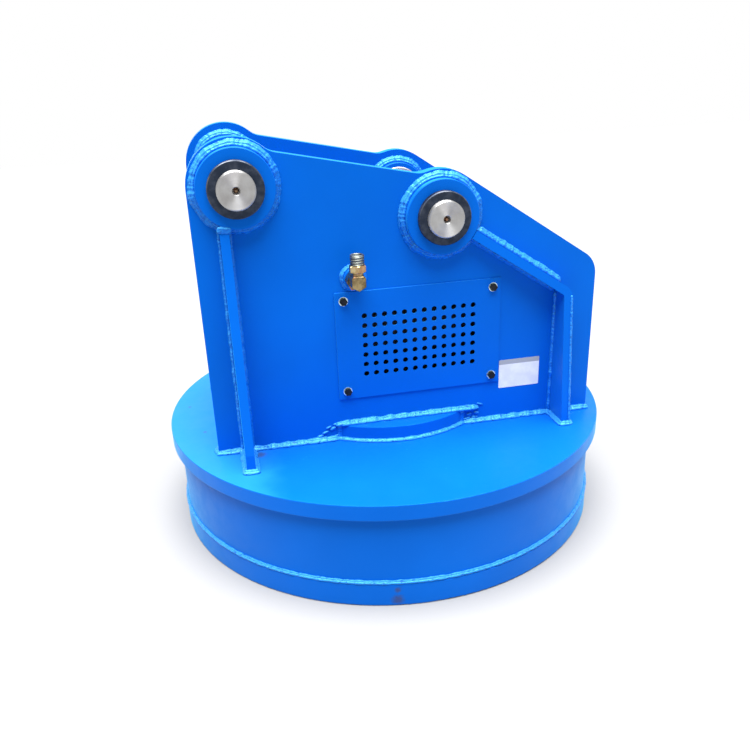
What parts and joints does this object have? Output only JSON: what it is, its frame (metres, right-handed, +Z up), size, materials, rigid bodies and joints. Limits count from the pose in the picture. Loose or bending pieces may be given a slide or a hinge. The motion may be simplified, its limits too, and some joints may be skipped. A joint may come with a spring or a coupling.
{
  "type": "lifting electromagnet",
  "caption": "Round lifting electromagnet with two pinned side plates for an excavator arm and an enclosed hydraulic generator set.",
  "frame": {"origin": "centre of the round magnet at the level of its working face, which is also the middle of the part's footprint", "axes": "+X along the side plates, from the high pin to the low pin; +Y from the front side plate to the rear one; +Z up, away from the working face"},
  "size_m": [0.8999, 0.9, 0.7834],
  "materials": {
    "blue_paint": "gloss",
    "bright_steel": "turned",
    "blackened_steel": "oxide",
    "zinc_steel": "zinc plated",
    "yellow_zinc": "plated",
    "manganese_steel": "rolled",
    "core_steel": "machined",
    "aluminium_strip": "wound",
    "moulded_resin": "matt",
    "generator_paint": "satin",
    "motor_iron": "cast",
    "black_sleeve": "matt"
  },
  "bodies": {
    "root": {"bed_plate": "generator_paint", "bell_housing": "motor_iron", "centre_core": "core_steel", "coil_bobbin": "moulded_resin", "coil_lead": "black_sleeve", "coil_potting": "moulded_resin", "control_box": "generator_paint", "control_box_lid": "generator_paint", "cover_screws": "blackened_steel", "cover_washers": "zinc_steel", "folded_deck": "blue_paint", "front_bent_rib": "blue_paint", "front_left_bush": "blackened_steel", "front_left_outer_boss": "blue_paint", "front_oil_pipe": "zinc_steel", "front_port_adapter": "yellow_zinc", "front_port_elbow": "yellow_zinc", "front_right_bush": "blackened_steel", "front_right_outer_boss": "blue_paint", "front_side_plate": "blue_paint", "front_tapered_gusset": "blue_paint", "front_vent_cover": "blue_paint", "generator_drive_shield": "generator_paint", "generator_rear_shield": "generator_paint", "generator_yoke": "generator_paint", "grease_nipples": "yellow_zinc", "hatch_panel": "blue_paint", "hatch_screws": "blackened_steel", "hydraulic_motor": "motor_iron", "inner_pole_shoe": "core_steel", "lead_gland": "zinc_steel", "left_end_plate": "blue_paint", "left_inner_bosses": "blue_paint", "left_pin": "bright_steel", "lower_winding": "aluminium_strip", "outer_pole_shoe": "blue_paint", "pole_shoe_screws": "blackened_steel", "port_sockets": "blue_paint", "pot_wall": "blue_paint", "rear_bent_rib": "blue_paint", "rear_left_bush": "blackened_steel", "rear_left_outer_boss": "blue_paint", "rear_oil_pipe": "zinc_steel", "rear_port_adapter": "yellow_zinc", "rear_port_elbow": "yellow_zinc", "rear_right_bush": "blackened_steel", "rear_right_outer_boss": "blue_paint", "rear_side_plate": "blue_paint", "rear_tapered_gusset": "blue_paint", "rear_vent_cover": "blue_paint", "right_end_frame": "blue_paint", "right_inner_bosses": "blue_paint", "right_pin": "bright_steel", "round_doubler": "blue_paint", "swivel_nuts": "zinc_steel", "top_plate": "blue_paint", "upper_winding": "aluminium_strip", "wear_plate": "manganese_steel"}
  },
  "joints": []
}
